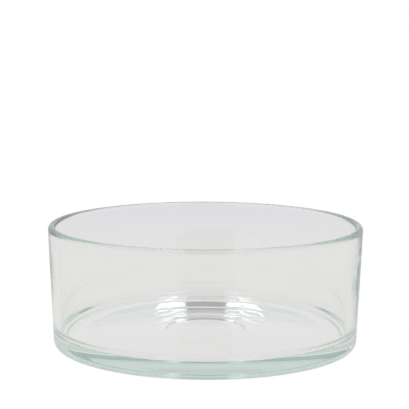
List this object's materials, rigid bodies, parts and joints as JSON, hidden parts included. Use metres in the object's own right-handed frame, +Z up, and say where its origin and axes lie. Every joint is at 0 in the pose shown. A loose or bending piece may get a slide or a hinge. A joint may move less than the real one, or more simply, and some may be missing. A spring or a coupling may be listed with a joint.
{
  "type": "floating candle bowl",
  "caption": "Low round bowl of clear glass with a rounded rim and a thick base, for floating candles on water.",
  "frame": {"origin": "middle of the foot, on the surface that the bowl stands on", "axes": "+Z up along the bowl's axis, out of its mouth; X and Y are any two directions across it"},
  "size_m": [0.2, 0.2, 0.0785],
  "materials": {
    "clear_glass": "fire-polished clear soda-lime glass, faintly green through its thickness"
  },
  "bodies": {
    "root": {"glass_bowl": "clear_glass"}
  },
  "joints": []
}
